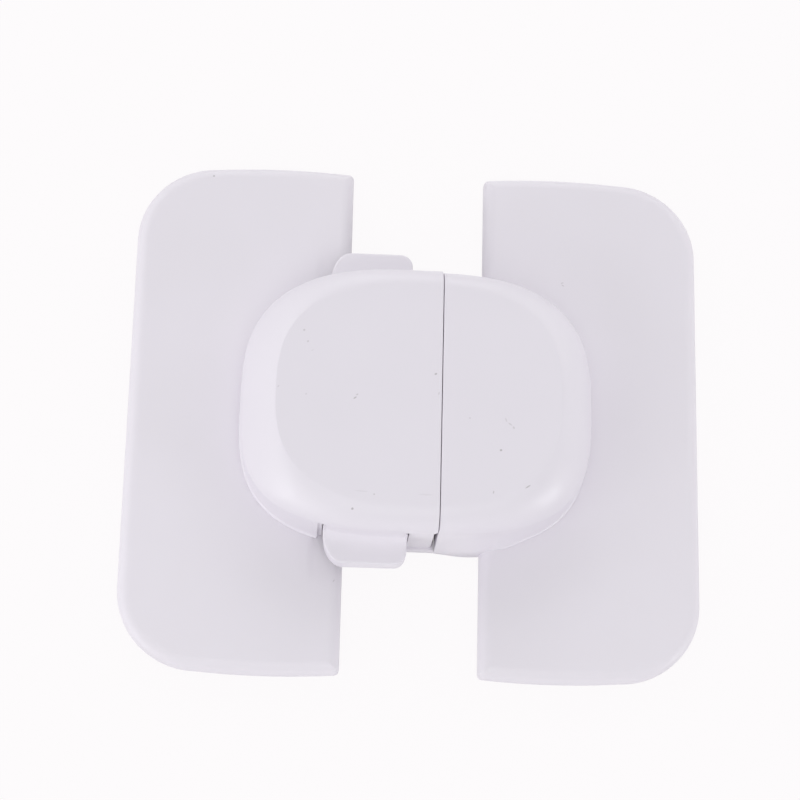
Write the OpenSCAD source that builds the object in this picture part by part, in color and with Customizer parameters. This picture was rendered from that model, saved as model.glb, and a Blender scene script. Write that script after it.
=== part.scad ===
// Squeeze-to-open safety lock for a cabinet or fridge door, in two halves.
// Each half is a plate that sticks on with foam pads, and the halves meet under one dome.
// The latch half's tongue carries two snap arms, whose barbs catch behind posts in the
// receiver half. Squeezing the two release tabs bends both arms clear of the posts.
// Millimetres. The origin is the middle of the lock on the mounting surface, +X points to
// the latch half, +Y up along the plates and +Z out from the door.

/* [Plates] */
// From the middle of the lock to the outer edge of each plate
plate_reach = 42.5; // [40:0.5:50]
// From the middle of the lock to the inner edge of each plate
plate_inner = 10; // [9:0.5:11]
// Height of the plates
plate_h = 78; // [70:0.2:90]
// Thickness of the plates
plate_t = 3; // [2.6:0.1:3.6]
// Radius of the plates' outer corners, seen from the front
plate_corner_r = 11.8; // [6:0.1:14]
// Radius of the plates' inner corners, seen from the front
plate_inner_r = 0.8; // [0.4:0.1:2]
// Radius of the plates' rounded front edge
plate_edge_r = 1.8; // [0.8:0.1:2.2]
// Bevel along the plates' back edge
back_bevel = 0.3; // [0.1:0.1:0.6]
// How far the plates' top and bottom edges bow outwards
plate_bow = 0.4; // [0:0.1:1]
// Thickness of the floors that cross the door gap behind the dome
floor_t = 1.5; // [1:0.1:2]

/* [Dome] */
// Half length of the dome where it meets the plates
dome_half_l = 25.7; // [25:0.1:30]
// Half width of the dome where it meets the plates
dome_half_w = 20; // [19.4:0.1:22]
// How far the dome's long sides lean in from foot to shoulder
side_lean = 0.3; // [0:0.05:0.5]
// Front of the dome, from the back of the plates
dome_h = 15; // [14.4:0.2:17]
// Top of the upright wall at the dome's ends, from the back of the plates
end_wall_h = 8; // [6:0.1:8.6]
// Length of the ramps at the dome's ends, down from its flat top
ramp_l = 5.2; // [4.5:0.1:7]
// Width of the rounded shoulders along the dome's long sides
shoulder_w = 3.8; // [3.5:0.1:7]
// Drop from the flat top to the shoulder along the receiver's long sides
receiver_drop = 3.5; // [2.4:0.1:4]
// Drop from the flat top to the shoulder along the latch's long sides, which are rounder
latch_drop = 4.6; // [2.4:0.1:4.8]
// Roundness of the receiver's ramp, where 1 is a straight bevel and 2 a quarter ellipse
receiver_round = 1.2; // [1.05:0.05:1.6]
// Roundness of the latch's ramp, which is softer
latch_round = 1.5; // [1.05:0.05:2]
// Squareness of the dome's foot seen from the front, where 2 is an ellipse
foot_power = 3; // [2.4:0.1:3.6]
// Squareness of the dome's flat top
top_power = 2.7; // [2.4:0.1:3.4]
// Wall thickness of the dome's two covers
dome_wall = 1.5; // [1.2:0.1:1.8]
// Place of the seam between the halves
seam_x = 3.3; // [2.4:0.1:4]
// Width of the seam
seam_gap = 0.25; // [0.2:0.05:0.5]
// How far the latch dome's foot flares out at the edge of its plate
foot_flare = 0.8; // [0:0.1:2]
// Length of the flare to each side of the plate's edge
flare_l = 8; // [4:0.5:9]
// Height at which the flare has died out
flare_h = 9; // [6:0.5:11]

/* [Release tabs] */
// End of the tabs that faces the seam
tab_end = -1; // [-2:0.1:-0.8]
// Length of the tabs along their hinges
tab_l = 12.1; // [11:0.1:14]
// Width of the slot at the tabs' far end
tab_slot = 0.7; // [0.6:0.1:1.4]
// How far the lips stand out from the dome's long sides
lip_out = 3.6; // [3:0.1:5]
// Front edge of the lips, from the back of the plates
lip_z = 8; // [7:0.1:8.6]
// Height of the rim that hangs from each lip
rim_h = 3; // [2:0.1:3.2]
// Rounding of the lips' front edge
lip_edge_r = 0.8; // [0.4:0.1:1]
// How far the tab's hollow sweep keeps off the straight line, as a height above the lip
tab_sweep_z = 1.2; // [0.8:0.1:1.6]
// Wall thickness of the tabs
tab_wall = 1.3; // [1:0.1:1.5]
// Radius of the bead that each tab turns on
bead_r = 0.8; // [0.6:0.05:0.9]
// How far the tabs' far side sweeps along the hinge, from the slot to the lip
sweep_l = 3; // [2.4:0.1:4]
// Radius of the lips' corner that faces the seam
lip_corner_r = 1.8; // [1:0.1:2.4]
// Thickness of the pusher rib inside each tab
pusher_t = 1.8; // [1.2:0.1:2.4]
// From the barb's catching face to the middle of the pusher rib
pusher_back = 2.5; // [2:0.1:3]
// Depth of the relief in the plate beside each tab
relief_d = 0.3; // [0.2:0.1:0.6]
// Margin of the relief round the tab
relief_margin = 1.2; // [0.8:0.1:1.6]

/* [Tongue] */
// Length of the tongue's blade from the seam to its tip
tongue_l = 18.5; // [16:0.1:19]
// Width of the blade, as a share of the dome's width
blade_share = 0.425; // [0.38:0.005:0.44]
// Thickness of the blade
tongue_t = 5.4; // [4.6:0.1:6]
// Radius of the blade's tip corners
tip_r = 3; // [1.5:0.1:5]
// Bevel round the blade's leading edge
tip_bevel = 0.8; // [0.4:0.1:1.2]
// Thickness of the flange that closes the latch dome
flange_t = 1.6; // [1.2:0.1:2]
// Length of the root block behind the flange
root_l = 11.5; // [11:0.1:12.5]
// Width of the ears that carry the snap arms
ear_w = 1.8; // [1.4:0.1:2.2]
// Length of the ears
ear_l = 3; // [2:0.1:4]
// From the middle of an arm's root to the open side of its ear
ear_open = 0.3; // [0.2:0.05:0.4]
// Width of the guide rail under the blade
rail_w = 3; // [2:0.1:4]
// Height of the guide rail above the plate
rail_h = 1.4; // [0.8:0.1:1.8]
// Depth of the pockets in the blade's front face
pocket_d = 2; // [1:0.1:2.4]
// Wall left round the pockets
pocket_wall = 2.2; // [1.6:0.1:3]

/* [Snap arms] */
// Place of the catch posts' inner faces, as a share of the dome's half width
catch_share = 0.755; // [0.735:0.005:0.77]
// How far each barb reaches behind its post
barb_catch = 0.95; // [0.7:0.05:1]
// Length of the barbs
barb_l = 7; // [6:0.1:7.6]
// Flat at the top of the barbs
barb_land = 1; // [0.6:0.1:1.6]
// Thickness of the arms
arm_t = 1.8; // [1.4:0.1:2]
// Height of the arms
arm_h = 4.6; // [4:0.1:5.2]
// From the edge of the blade to the middle of each arm's root
arm_root_gap = 3.1; // [2.6:0.1:3.4]
// Length of the catch posts along the pull
post_l = 2.6; // [2:0.1:3]
// Thickness of the catch posts
post_w = 2.2; // [1.6:0.1:2.4]
// Bevel that leads the barbs in between the posts
post_bevel = 0.8; // [0.4:0.1:1.2]
// From the tab's end back to the catch posts
post_back = 1; // [0.6:0.1:1.4]

/* [Screws] */
// Diameter of the screws' shanks
screw_d = 2.2; // [1.8:0.1:2.6]
// Length of the screws under their heads
screw_l = 6; // [5:0.1:6.4]
// Diameter of the screws' heads
head_d = 4; // [3.4:0.1:4.4]
// Height of the screws' heads
head_h = 1.3; // [0.9:0.1:1.5]
// How deep the heads lie below the back of the plates
head_sink = 0.2; // [0.1:0.05:0.3]
// Width of the cross recess in the heads
drive_w = 0.6; // [0.4:0.05:0.8]
// Length of the cross recess
drive_l = 2.6; // [2:0.1:3]
// Depth of the cross recess
drive_d = 0.7; // [0.5:0.05:0.8]
// Outer diameter of the covers' screw bosses
boss_d = 5; // [4.4:0.1:5.6]
// From the end of the dome to the middle of the bosses
boss_in = 6.6; // [6:0.1:7]
// Place of the bosses across the lock, as a share of the dome's half width
boss_share = 0.475; // [0.45:0.005:0.5]
// From the middle of the lock to the tongue's screws, along it
tongue_screw_x = 13.2; // [13:0.1:13.6]
// Place of the tongue's screws across the lock, as a share of the dome's half width
tongue_screw_share = 0.22; // [0.2:0.005:0.24]

/* [Pads] */
// Thickness of the foam pads
pad_t = 1; // [0.6:0.1:2]
// Thickness of the peel-off liners
liner_t = 0.15; // [0.1:0.05:0.3]
// How far the pads stay inside the plates' edges
pad_inset = 2; // [1:0.1:4]
// Half height of the bare band between the upper and lower pads
pad_band = 13; // [12:0.5:18]

/* [Fits] */
// Gap round the beads that the tabs and arms turn on
hinge_clear = 0.06; // [0.04:0.01:0.1]
// Gap round the parts that slide into the receiver
slide_clear = 0.3; // [0.2:0.05:0.4]
// Gap between fixed pieces that locate each other
seat_clear = 0.1; // [0.05:0.01:0.2]
// Gap between a barb's catching face and its post
catch_clear = 0.2; // [0.15:0.05:0.3]
// Gap between a pusher rib and its barb
pusher_clear = 0.2; // [0.15:0.05:0.3]
// Gap round a screw in its hole
screw_clear = 0.05; // [0.03:0.01:0.1]

/* [Hidden] */
$fn = 48;
dome_n = 64;
wall_rings = 3;
roof_rings = 6;
edge_rings = 5;
corner_steps = 9;
small_corner_steps = 3;
tip_steps = 6;
lip_steps = 4;
bow_steps = 6;
rib_steps = 8;
tab_rows_n = 9;
tab_columns_n = 10;
smallest_r = 0.2;
over = 1;

white_abs = [0.88, 0.87, 0.90];
foam_grey = [0.80, 0.80, 0.78];
liner_cream = [0.93, 0.88, 0.70];
zinc = [0.72, 0.73, 0.75];

// Seam faces of the two halves
seam_l = seam_x - seam_gap / 2;
seam_r = seam_x + seam_gap / 2;

// The dome's flat top, seen from the front
top_half_w = dome_half_w - shoulder_w;

// Above their upright walls the dome's ends lean by end_run along X for each millimetre
// of height
end_run = ramp_l / (dome_h - end_wall_h);
end_factor = sqrt(1 + end_run * end_run);

// Drop of the shoulders and roundness of the ramp of each half's dome
receiver_shape = [receiver_drop, receiver_round];
latch_shape = [latch_drop, latch_round];

// Range of the plates' bowed edges
bow_from = plate_inner + plate_inner_r;
bow_to = plate_reach - plate_corner_r;
bow_mid = (bow_from + bow_to) / 2;
bow_half = (bow_to - bow_from) / 2;

// Hinge line of the tabs, at the shoulder
hinge_y = dome_half_w - side_lean - bead_r;
hinge_z = dome_h - receiver_drop - hinge_clear - bead_r / 2;
tab_start = tab_end - tab_l;
lip_reach = dome_half_w + lip_out;
rim_z = lip_z - rim_h;
tab_back = tab_wall / 2;

// The blade, its flange and its root block
tongue_w = 2 * dome_half_w * blade_share;
blade_z = plate_t + slide_clear;
blade_top = blade_z + tongue_t;
tip_x = seam_x - tongue_l;
flange_x = seam_r + seam_gap;
root_x = flange_x + flange_t;
rail_top = plate_t + rail_h;

// The snap arms, their posts and the ribs that push them
catch_y = dome_half_w * catch_share;
post_x = tab_end - post_back - post_l;
catch_x = post_x - catch_clear;
barb_y = catch_y + barb_catch;
arm_y = catch_y - 2 * slide_clear;
nose_x = catch_x - barb_l;
arm_bead_r = arm_t / 2;
arm_root_x = root_x + arm_bead_r + slide_clear;
arm_root_y = tongue_w / 2 + arm_root_gap;
arm_top = blade_z + arm_h;
pusher_x = catch_x - pusher_back;
pusher_y = barb_y + pusher_clear;

// Screw places, and the root block that fits between the latch cover's bosses
boss_x = dome_half_l - boss_in;
boss_y = dome_half_w * boss_share;
tongue_screw_y = dome_half_w * tongue_screw_share;
root_w = 2 * boss_y - boss_d - 2 * seat_clear;
head_seat = head_h + head_sink;
cover_screws = [[boss_x, boss_y], [boss_x, -boss_y]];
tongue_screw_places = [[tongue_screw_x, tongue_screw_y], [tongue_screw_x, -tongue_screw_y]];

// Stands a piece, drawn from the back of the plates, on its foam pads
module on_pads() {
    translate([0, 0, pad_t + liner_t]) children();
}

// The other half's hand, for what is the same on both halves
module receiver_side() {
    mirror([1, 0, 0]) children();
}

// The lower tab's or arm's hand
module lower_side() {
    mirror([0, 1, 0]) children();
}

// Draws a profile, given across Y and up Z, along X from x0 to x1
module along_x(x0, x1) {
    translate([x0, 0, 0]) rotate([90, 0, 90]) linear_extrude(x1 - x0) children();
}

// Closed solid through rings with the same number of points, from the bottom ring up
module loft(rings) {
    n = len(rings[0]);
    last = (len(rings) - 1) * n;
    walls = [
        for (k = [0:len(rings) - 2], i = [0:n - 1])
            let (a = k * n + i, b = k * n + (i + 1) % n)
            each [[a, a + n, b + n], [a, b + n, b]]
    ];
    bottom = [for (i = [0:n - 1]) i];
    top = [for (i = [n - 1:-1:0]) last + i];
    polyhedron([for (r = rings) each r], concat([bottom], walls, [top]));
}

// Points on an arc round c
function arc(c, r, from, to, steps) = [
    for (i = [0:steps])
        let (t = from + (to - from) * i / steps)
        [c.x + r * cos(t), c.y + r * sin(t)]
];

// Outline of the latch plate, drawn in by inset
function bow_at(x) =
    plate_bow * pow((min(max(x, bow_from), bow_to) - bow_mid) / bow_half, 2);
function plate_outline(inset) =
    let (
        x0 = plate_inner + inset,
        x1 = plate_reach - inset,
        h = plate_h / 2 - inset,
        q = max(plate_inner_r - inset, smallest_r),
        r = max(plate_corner_r - inset, smallest_r),
        run = x1 - r - x0 - q
    )
    [
        for (p = concat(
            arc([x0 + q, q - h], q, 180, 270, small_corner_steps),
            [for (k = [1:bow_steps - 1]) [x0 + q + run * k / bow_steps, -h]],
            arc([x1 - r, r - h], r, 270, 360, corner_steps),
            arc([x1 - r, h - r], r, 0, 90, corner_steps),
            [for (k = [1:bow_steps - 1]) [x1 - r - run * k / bow_steps, h]],
            arc([x0 + q, h - q], q, 90, 180, small_corner_steps)
        ))
        [p.x, p.y - sign(p.y) * bow_at(p.x)]
    ];

// The latch plate: bevelled back edge, rounded front edge
function plate_ring(inset, z) = [for (p = plate_outline(inset)) [p.x, p.y, z]];
module plate() {
    loft(concat(
        [plate_ring(back_bevel, 0), plate_ring(0, back_bevel)],
        [
            for (k = [0:edge_rings])
                let (t = 90 * k / edge_rings)
                plate_ring(plate_edge_r * (1 - cos(t)), plate_t - plate_edge_r * (1 - sin(t)))
        ]
    ));
}

// Point of a superellipse at angle t
function oval(half_l, half_w, power, t) = [
    half_l * sign(cos(t)) * pow(abs(cos(t)), 2 / power),
    half_w * sign(sin(t)) * pow(abs(sin(t)), 2 / power)
];

// A point of the dome at height z, moved out by the latch half's flared foot
function bump(s) = abs(s) < 1 ? pow(1 - s * s, 2) : 0;
function flare(x, z) = foot_flare * bump((x - plate_inner) / flare_l) * bump(max(z, 0) / flare_h);
function flared(p, z) = [p.x, p.y + sign(p.y) * flare(p.x, z), z];

// Top of the dome's upright wall, drawn in by inset, which is lower at the ends
function end_turn(inset) = end_wall_h - inset * (end_factor - 1) / end_run;
function wall_top(inset, shape, t) =
    end_turn(inset) + (dome_h - inset - shape[0] - end_turn(inset)) * pow(sin(t), 2);

// Ring of the dome's wall, drawn in by inset, at a share of the way up from height z0
function wall_ring(inset, z0, shape, share) = [
    for (i = [0:dome_n - 1])
        let (
            t = 360 * i / dome_n,
            half_w = dome_half_w - inset - share * side_lean,
            z = z0 + share * (wall_top(inset, shape, t) - z0)
        )
        flared(oval(dome_half_l - inset, half_w, foot_power, t), z)
];

// Ring of the dome's roof, drawn in by inset, at a share of the way up from the wall to the
// flat top. Its profile changes from the ramp's roundness to a quarter ellipse at the sides.
function roof_ring(inset, shape, share) = [
    for (i = [0:dome_n - 1])
        let (
            t = 360 * i / dome_n,
            low = wall_top(inset, shape, t),
            e = shape[1] + (2 - shape[1]) * pow(sin(t), 2),
            inwards = 1 - pow(1 - pow(share, e), 1 / e),
            wall = oval(dome_half_l - inset, dome_half_w - side_lean - inset, foot_power, t),
            top_half_l = dome_half_l - ramp_l - inset * (end_factor - end_run),
            top = oval(top_half_l, top_half_w, top_power, t)
        )
        flared(wall + inwards * (top - wall), low + share * (dome_h - inset - low))
];

// The dome drawn in by inset, from height z0
module dome(inset, z0, shape) {
    loft(concat(
        [for (k = [0:wall_rings]) wall_ring(inset, z0, shape, k / wall_rings)],
        [for (k = [1:roof_rings]) roof_ring(inset, shape, sin(90 * k / roof_rings))]
    ));
}

// One cover's shell, between two places along X
module dome_shell(x0, x1, shape) {
    intersection() {
        difference() {
            dome(0, floor_t, shape);
            dome(dome_wall, floor_t - over, shape);
        }
        translate([x0, -plate_h / 2, 0]) cube([x1 - x0, plate_h, dome_h + over]);
    }
}

// Outline of the dome's foot between two places along X
module dome_foot(x0, x1, z) {
    intersection() {
        polygon([for (p = wall_ring(0, z, receiver_shape, 0)) [p.x, p.y]]);
        translate([x0, -plate_h / 2]) square([x1 - x0, plate_h]);
    }
}

// What crosses the gap from a plate: its edge squared up under the dome, and a thin floor
module crossing(x0, x1) {
    linear_extrude(plate_t) dome_foot(x0, x1, plate_t);
}

// Space that a plate takes up under a cover, from its inner edge outwards
module plate_space() {
    translate([plate_inner - seat_clear, -plate_h / 2, -over])
        cube([plate_reach, plate_h, plate_t + over]);
}

// Bosses for the cover's screws, trimmed inside the cover's wall
module cover_bosses(shape) {
    intersection() {
        union() {
            for (p = cover_screws) {
                translate([p.x, p.y, plate_t]) cylinder(h = dome_h, d = boss_d);
            }
        }
        dome(dome_wall / 2, floor_t, shape);
    }
}

// Holes for the shanks, from the heads' seats in the plates up past the screws' tips
module shank_holes(places) {
    for (p = places) {
        translate([p.x, p.y, head_seat - over])
            cylinder(h = screw_l + over + head_sink, d = screw_d + 2 * screw_clear);
    }
}

// Counterbores for the heads in the back of the plates
module head_holes(places) {
    for (p = places) {
        translate([p.x, p.y, -over])
            cylinder(h = head_seat + over, d = head_d + 2 * screw_clear);
    }
}

// Self-tapping screws with cross recesses, heads at the back
module screws(places) {
    for (p = places) {
        translate([p.x, p.y, head_sink]) difference() {
            rotate_extrude() polygon([
                [0, 0], [head_d / 2, 0], [head_d / 2, head_h], [screw_d / 2, head_h],
                [screw_d / 2, head_h + screw_l - screw_d / 2], [0, head_h + screw_l]
            ]);
            for (a = [0, 90]) {
                rotate([0, 0, a]) translate([-drive_l / 2, -drive_w / 2, -over])
                    cube([drive_l, drive_w, over + drive_d]);
            }
        }
    }
}

// Catch post for the upper arm, bevelled where the barb comes in
module catch_post() {
    linear_extrude(arm_top + slide_clear) polygon([
        [post_x, catch_y],
        [post_x + post_l - post_bevel, catch_y],
        [post_x + post_l, catch_y + post_bevel],
        [post_x + post_l, catch_y + post_w],
        [post_x, catch_y + post_w]
    ]);
}

// Rail that guides the blade, from the plate to the seam
module guide_rail() {
    translate([tip_x, -rail_w / 2, 0]) cube([seam_l - tip_x, rail_w, rail_top]);
}

// Shallow relief in the plate beside the upper tab
module tab_relief() {
    reach = lip_reach + relief_margin;
    translate([tab_start - tab_slot - relief_margin, dome_half_w, plate_t - relief_d])
        cube([tab_l, reach - dome_half_w, plate_t]);
}

module receiver_base() {
    color(white_abs) on_pads() difference() {
        union() {
            receiver_side() plate();
            crossing(-plate_inner - plate_edge_r, -plate_inner);
            linear_extrude(floor_t) dome_foot(-plate_inner - plate_edge_r, seam_l, floor_t);
            guide_rail();
            catch_post();
            lower_side() catch_post();
        }
        tab_relief();
        lower_side() tab_relief();
        receiver_side() shank_holes(cover_screws);
        receiver_side() head_holes(cover_screws);
    }
}

// Window for the upper tab: the slot, the tab and the notch up to the seam, under a groove
// for the tab's bead
module tab_window() {
    translate([tab_start - tab_slot, hinge_y - bead_r - dome_wall, -over])
        cube([dome_half_l, plate_h, hinge_z + over]);
    translate([tab_start - tab_slot, hinge_y, hinge_z]) rotate([0, 90, 0])
        cylinder(h = tab_slot + tab_l + slide_clear, r = bead_r + hinge_clear);
}

module receiver_cover() {
    color(white_abs) on_pads() difference() {
        union() {
            dome_shell(-plate_reach, seam_l, receiver_shape);
            receiver_side() cover_bosses(receiver_shape);
        }
        receiver_side() plate_space();
        tab_window();
        lower_side() tab_window();
        receiver_side() shank_holes(cover_screws);
    }
}

// The dome's side at its shoulder, along X
function side_y(x) =
    (dome_half_w - side_lean) * pow(1 - pow(abs(x) / dome_half_l, foot_power), 1 / foot_power);

// Height of the tab's hollow at a given depth below its front: it leaves the dome's side
// upright and flattens out to the lip
function hollow_z(x, y, depth) =
    let (
        share = (y + depth - side_y(x)) / (lip_reach - lip_edge_r - side_y(x)),
        t = sqrt(min(max(share, 0), 1))
    )
    pow(1 - t, 2) * hinge_z
        + 2 * t * (1 - t) * (lip_z + tab_sweep_z)
        + t * t * lip_z
        - depth * t;

// Plan of the tab, drawn in by inset, as rows of points from back behind the dome's side to
// the lip
function tab_plan(inset, back) =
    let (
        x0 = tab_start + inset,
        x1 = tab_end - inset,
        lip_y = lip_reach - inset,
        sweep = sweep_l - inset,
        r = max(lip_corner_r - inset, smallest_r)
    )
    [
        for (j = [0:tab_rows_n])
            let (
                share = (1 - cos(180 * j / tab_rows_n)) / 2,
                left = x0 + sweep * (1 - sqrt(max(1 - share * share, 0))),
                rise = max(side_y(x1) - back + share * (lip_y - side_y(x1) + back) - lip_y + r, 0),
                right = x1 - r + sqrt(max(r * r - rise * rise, 0))
            )
            [
                for (i = [0:tab_columns_n])
                    let (
                        x = left + (right - left) * i / tab_columns_n,
                        y = side_y(x) - back + share * (lip_y - side_y(x) + back)
                    )
                    [x, y]
            ]
    ];

// The same rows at the heights of the tab's hollow
function tab_front(inset, back, depth) = [
    for (row = tab_plan(inset, back))
        [for (p = row) [p.x, p.y, hollow_z(p.x, p.y, depth)]]
];

// What lies round the edge of a grid of rows, anticlockwise seen from the front
function edge_of(rows) =
    let (m = len(rows) - 1, n = len(rows[0]) - 1)
    concat(
        [for (i = [0:n - 1]) rows[0][i]],
        [for (j = [0:m - 1]) rows[j][n]],
        [for (i = [n:-1:1]) rows[m][i]],
        [for (j = [m:-1:1]) rows[j][0]]
    );

// Closed solid with a front of rows of points, on loops of points that match its edge
module capped(loops, rows) {
    n = len(loops[0]);
    m = len(rows[0]);
    start = len(loops) * n;
    front = [for (j = [0:len(rows) - 1]) [for (i = [0:m - 1]) start + j * m + i]];
    rings = concat(
        [for (k = [0:len(loops) - 1]) [for (i = [0:n - 1]) k * n + i]],
        [edge_of(front)]
    );
    walls = [
        for (k = [0:len(loops) - 1], i = [0:n - 1])
            let (a = rings[k], b = rings[k + 1], next = (i + 1) % n)
            each [[a[i], b[i], b[next]], [a[i], b[next], a[next]]]
    ];
    cells = [
        for (j = [0:len(rows) - 2], i = [0:m - 2])
            let (a = front[j], b = front[j + 1])
            each [[a[i], b[i], b[i + 1]], [a[i], b[i + 1], a[i + 1]]]
    ];
    polyhedron(
        concat([for (l = loops) each l], [for (r = rows) each r]),
        concat([rings[0]], walls, cells)
    );
}

// The tab's outer form: its rim, the rounding of its free edge and its hollow front
module tab_form() {
    front = tab_front(lip_edge_r, tab_back, 0);
    heights = [for (p = edge_of(front)) p.z];
    function loop(t) =
        let (edge = edge_of(tab_plan(lip_edge_r * (1 - cos(t)), tab_back)))
        [
            for (i = [0:len(edge) - 1])
                [edge[i].x, edge[i].y, heights[i] - lip_edge_r * (1 - sin(t))]
        ];
    rim = [for (p = loop(0)) [p.x, p.y, rim_z]];
    capped(concat([rim], [for (k = [0:lip_steps - 1]) loop(90 * k / lip_steps)]), front);
}

// The space inside the tab, open at the back and towards the dome
module tab_space() {
    front = tab_front(tab_wall, tab_back + over, tab_wall);
    capped([[for (p = edge_of(front)) [p.x, p.y, rim_z - over]]], front);
    translate([tab_start - over, hinge_y - bead_r - dome_wall, rim_z - over])
        cube([tab_l + 2 * over, 2 * dome_wall, hinge_z - 3 * tab_wall - rim_z + over]);
}

// Section of the pusher rib, which hangs inside the tab and reaches in to the barb
module pusher_section() {
    y0 = side_y(pusher_x);
    y1 = lip_reach - tab_wall;
    polygon(concat(
        [
            for (k = [0:rib_steps])
                let (y = y0 + (y1 - y0) * k / rib_steps)
                [y, hollow_z(pusher_x, y, tab_wall / 2)]
        ],
        [
            [lip_reach - tab_wall / 2, rim_z + tab_wall / 2],
            [pusher_y + tab_wall, blade_z + slide_clear],
            [pusher_y, blade_z + slide_clear],
            [pusher_y, blade_z + arm_h / 2]
        ]
    ));
}

module release_tab() {
    color(white_abs) on_pads() {
        difference() {
            tab_form();
            tab_space();
        }
        along_x(pusher_x - pusher_t / 2, pusher_x + pusher_t / 2) pusher_section();
        intersection() {
            translate([tab_start, hinge_y, hinge_z]) rotate([0, 90, 0])
                cylinder(h = tab_l, r = bead_r);
            dome(0, floor_t, receiver_shape);
        }
    }
}

module upper_release_tab() {
    release_tab();
}

module lower_release_tab() {
    lower_side() release_tab();
}

module receiver_cover_screws() {
    color(zinc) on_pads() receiver_side() screws(cover_screws);
}

module latch_base() {
    color(white_abs) on_pads() difference() {
        union() {
            plate();
            crossing(plate_inner, plate_inner + plate_edge_r);
            linear_extrude(floor_t) dome_foot(seam_r, plate_inner + plate_edge_r, floor_t);
        }
        shank_holes(concat(cover_screws, tongue_screw_places));
        head_holes(concat(cover_screws, tongue_screw_places));
    }
}

module latch_cover() {
    color(white_abs) on_pads() difference() {
        union() {
            dome_shell(seam_r, plate_reach, latch_shape);
            cover_bosses(latch_shape);
        }
        plate_space();
        shank_holes(cover_screws);
    }
}

// Outline of the blade, with rounded tip corners, drawn in by inset
module blade_outline(inset) {
    x0 = tip_x + inset;
    y1 = tongue_w / 2 - inset;
    polygon(concat(
        [[root_x, -y1], [root_x, y1]],
        arc([x0 + tip_r, y1 - tip_r], tip_r, 90, 180, tip_steps),
        arc([x0 + tip_r, tip_r - y1], tip_r, 180, 270, tip_steps)
    ));
}

// The blade, with its leading edge bevelled front and back
module blade() {
    translate([0, 0, blade_z]) {
        linear_extrude(tongue_t) blade_outline(tip_bevel);
        translate([0, 0, tip_bevel]) linear_extrude(tongue_t - 2 * tip_bevel) blade_outline(0);
    }
}

// Two pockets in the blade's front face, with a rib between them
module blade_pockets() {
    x0 = tip_x + tip_bevel + pocket_wall;
    x1 = seam_x - pocket_wall;
    y0 = pocket_wall / 2;
    y1 = tongue_w / 2 - tip_bevel - pocket_wall;
    for (side = [0, 1]) mirror([0, side, 0])
        translate([x0, y0, blade_top - pocket_d]) cube([x1 - x0, y1 - y0, tongue_t]);
}

// Flange that closes the latch dome just inside the seam, with windows for the arms
module flange() {
    difference() {
        intersection() {
            dome(dome_wall + seat_clear, floor_t + seat_clear, latch_shape);
            translate([flange_x, -dome_half_w, 0]) cube([flange_t, 2 * dome_half_w, dome_h]);
        }
        for (side = [0, 1]) mirror([0, side, 0])
            translate([flange_x - over, arm_root_y - arm_t, blade_z - slide_clear])
                cube([flange_t + 2 * over, 2 * arm_t, arm_h + 2 * slide_clear]);
    }
}

// Root block, seated on the latch plate, with an ear on each side that holds an arm's bead
module root_block() {
    difference() {
        union() {
            translate([root_x - seat_clear, -root_w / 2, plate_t])
                cube([root_l + seat_clear, root_w, blade_top - plate_t]);
            translate([arm_root_x + ear_open, -arm_root_y - ear_w / 2, blade_z])
                cube([ear_l, 2 * arm_root_y + ear_w, arm_h]);
        }
        for (side = [0, 1]) mirror([0, side, 0])
            translate([arm_root_x, arm_root_y, 0])
                cylinder(h = blade_top + over, r = arm_bead_r + hinge_clear);
    }
}

module tongue() {
    color(white_abs) on_pads() difference() {
        union() {
            blade();
            flange();
            root_block();
        }
        blade_pockets();
        translate([tip_x - over, -rail_w / 2 - slide_clear, 0])
            cube([seam_l + slide_clear - tip_x + over, rail_w + 2 * slide_clear, blade_z + rail_h]);
        shank_holes(tongue_screw_places);
    }
}

// Outline of the upper arm: straight from its root to the barb, whose nose ramps in
module arm_outline() {
    nose_y = arm_y - arm_t / 2;
    polygon([
        [arm_root_x, arm_root_y + arm_bead_r],
        [arm_root_x, arm_root_y - arm_bead_r],
        [catch_x, arm_y - arm_t],
        [nose_x, nose_y - arm_t / 2],
        [nose_x, nose_y],
        [catch_x - barb_land, barb_y],
        [catch_x, barb_y],
        [catch_x, arm_y]
    ]);
}

module snap_arm() {
    color(white_abs) on_pads() translate([0, 0, blade_z]) {
        linear_extrude(arm_h) arm_outline();
        translate([arm_root_x, arm_root_y, 0]) cylinder(h = arm_h, r = arm_bead_r);
    }
}

module upper_snap_arm() {
    snap_arm();
}

module lower_snap_arm() {
    lower_side() snap_arm();
}

module tongue_screws() {
    color(zinc) on_pads() screws(tongue_screw_places);
}

module latch_cover_screws() {
    color(zinc) on_pads() screws(cover_screws);
}

// Outline of a plate's upper pad
module pad_outline() {
    intersection() {
        polygon(plate_outline(pad_inset));
        translate([0, pad_band]) square(plate_h);
    }
}

module pad() {
    color(foam_grey) translate([0, 0, liner_t]) linear_extrude(pad_t) pad_outline();
}

module liner() {
    color(liner_cream) linear_extrude(liner_t) pad_outline();
}

module receiver_upper_pad() {
    receiver_side() pad();
}

module receiver_lower_pad() {
    receiver_side() lower_side() pad();
}

module receiver_upper_liner() {
    receiver_side() liner();
}

module receiver_lower_liner() {
    receiver_side() lower_side() liner();
}

module latch_upper_pad() {
    pad();
}

module latch_lower_pad() {
    lower_side() pad();
}

module latch_upper_liner() {
    liner();
}

module latch_lower_liner() {
    lower_side() liner();
}

receiver_base();
receiver_cover();
upper_release_tab();
lower_release_tab();
receiver_cover_screws();
receiver_upper_pad();
receiver_lower_pad();
receiver_upper_liner();
receiver_lower_liner();
latch_base();
latch_cover();
tongue();
upper_snap_arm();
lower_snap_arm();
tongue_screws();
latch_cover_screws();
latch_upper_pad();
latch_lower_pad();
latch_upper_liner();
latch_lower_liner();
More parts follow.
